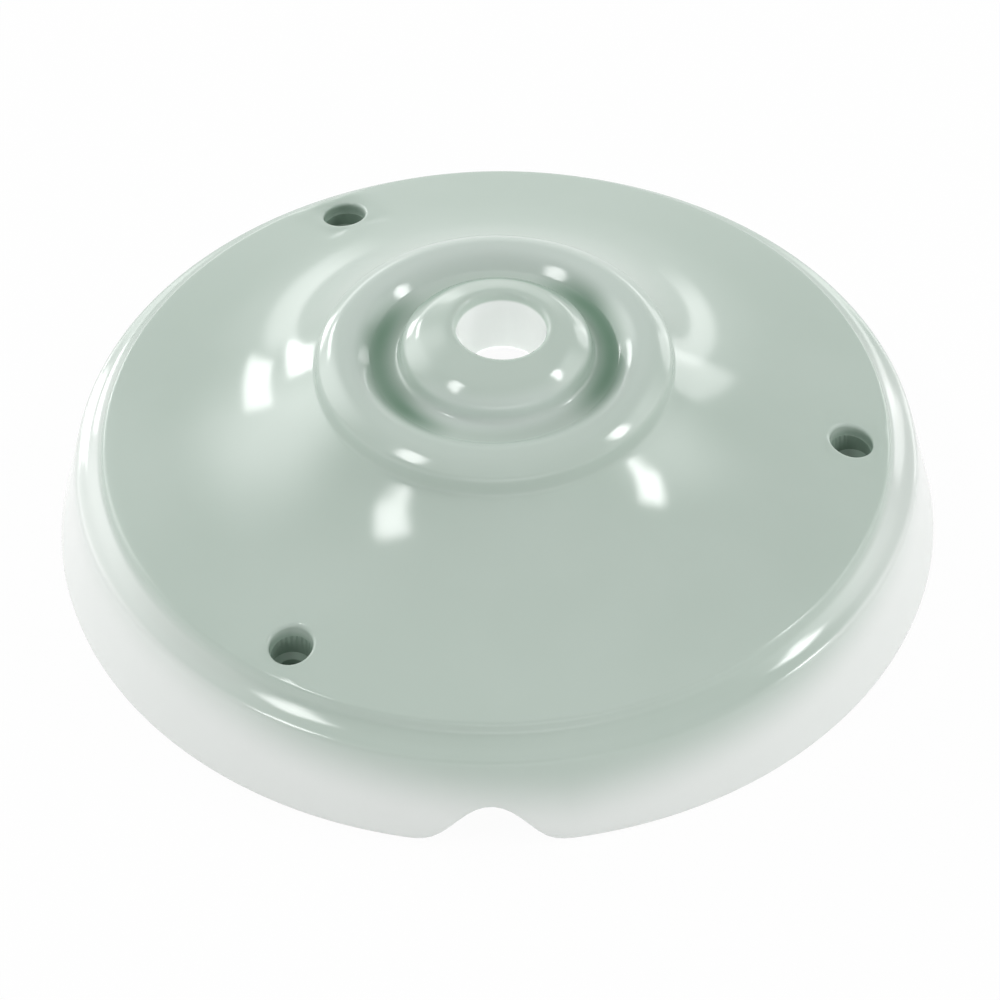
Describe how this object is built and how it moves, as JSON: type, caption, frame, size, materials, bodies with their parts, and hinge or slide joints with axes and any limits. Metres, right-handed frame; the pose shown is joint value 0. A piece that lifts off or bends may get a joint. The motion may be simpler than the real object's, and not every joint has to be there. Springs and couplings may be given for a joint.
{
  "type": "electrical ceiling rose",
  "caption": "Round glazed porcelain ceiling rose with a stepped rim, hollow-curved dish, beaded crown with a central cable bore, screw holes and an arched cable notch.",
  "frame": {"origin": "centre of the foot ring, on the plane that lies against the ceiling", "axes": "+Z along the cable bore away from the ceiling, through the middle of the foot ring, -Y towards the cable notch in the foot"},
  "size_m": [0.0996, 0.0992, 0.0308],
  "materials": {
    "sage_glaze": "pale sage green glaze, high gloss"
  },
  "bodies": {
    "root": {"porcelain_rose": "sage_glaze"}
  },
  "joints": []
}
